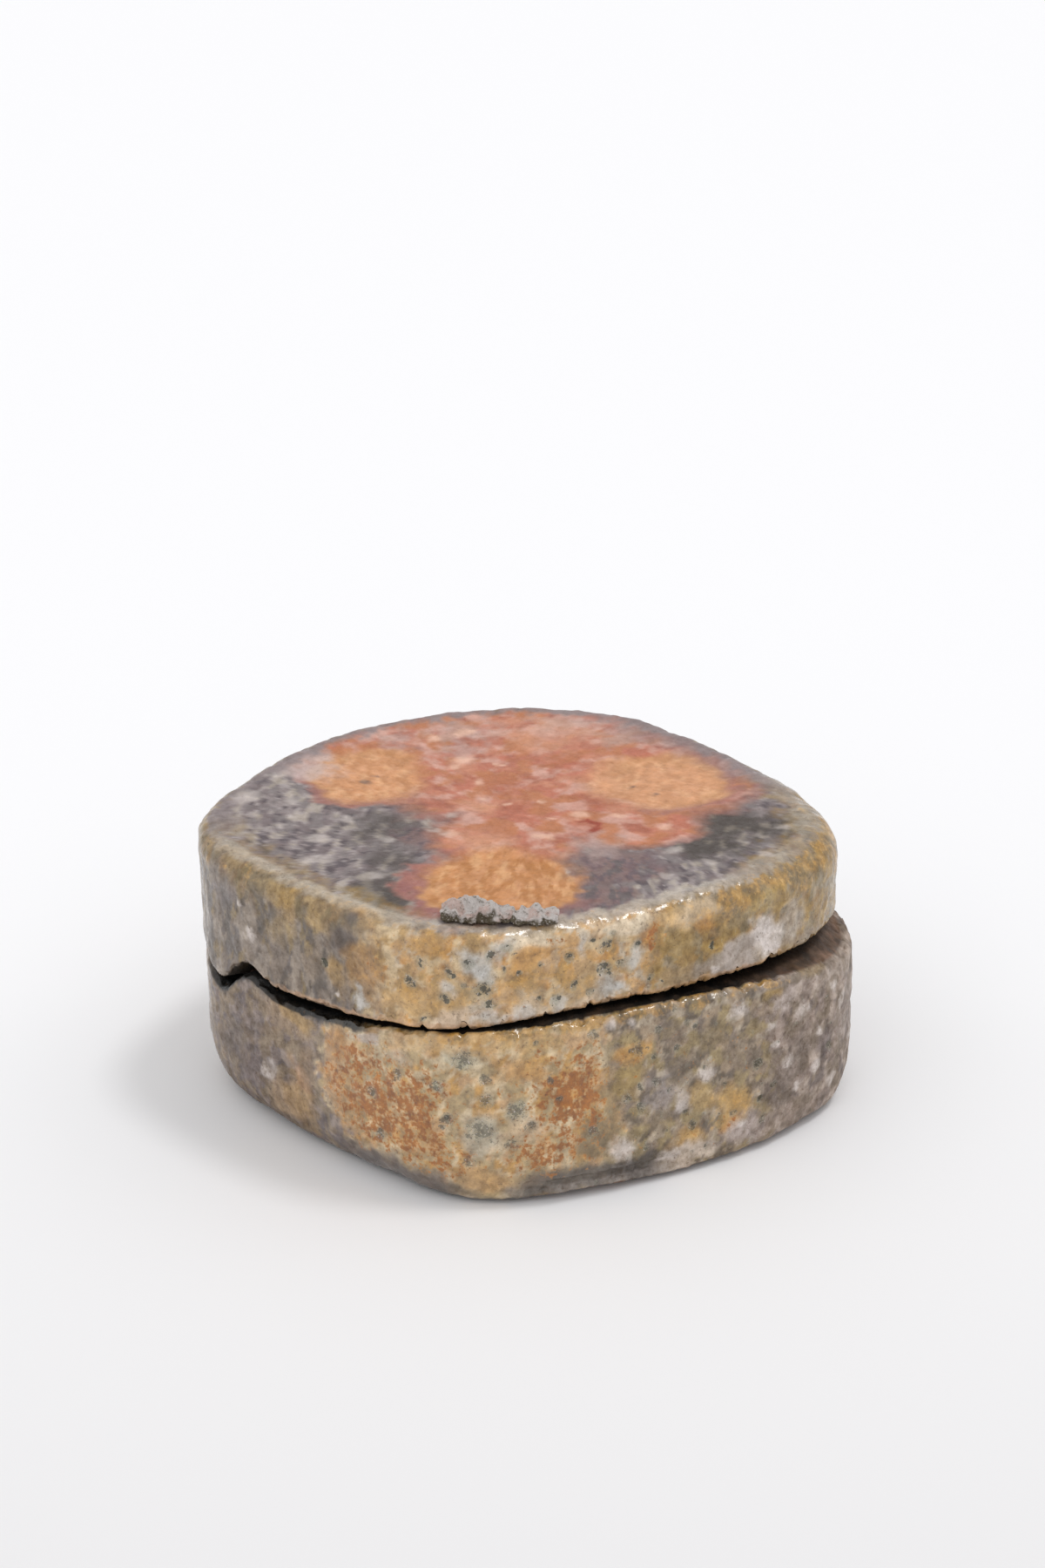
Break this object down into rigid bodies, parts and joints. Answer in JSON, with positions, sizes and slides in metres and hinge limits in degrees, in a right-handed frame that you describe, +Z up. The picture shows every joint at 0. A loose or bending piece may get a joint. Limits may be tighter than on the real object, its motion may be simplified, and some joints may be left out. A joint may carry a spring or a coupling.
{
  "type": "trinket box",
  "caption": "Small carved stoneware trinket box with rounded cut sides and a lift-off lid that sits on a wavy, keyed seam.",
  "frame": {"origin": "centre of the bounding box in plan, on the plane the foot rests on", "axes": "+Z up along the way the lid lifts off; +X towards the widest corner of the rim; the kink in the seam is at the corner between -X and -Y"},
  "size_m": [0.0772, 0.0736, 0.0376],
  "materials": {
    "fired_body": "satin natural ash glaze over cream and rust stoneware",
    "fired_lid": "satin natural ash glaze, charcoal and salmon on top, ochre and olive at the side",
    "wad_clay": "rough matte refractory clay"
  },
  "bodies": {
    "base": {"box_base": "fired_body"},
    "lid": {"lid": "fired_lid", "wad_crust_left": "wad_clay", "wad_crust_right": "wad_clay"}
  },
  "joints": [
    {"name": "lid_lift", "type": "slide", "parent": "base", "child": "lid", "axis": [0, 0, 1], "range_m": [0, 0.045]}
  ]
}
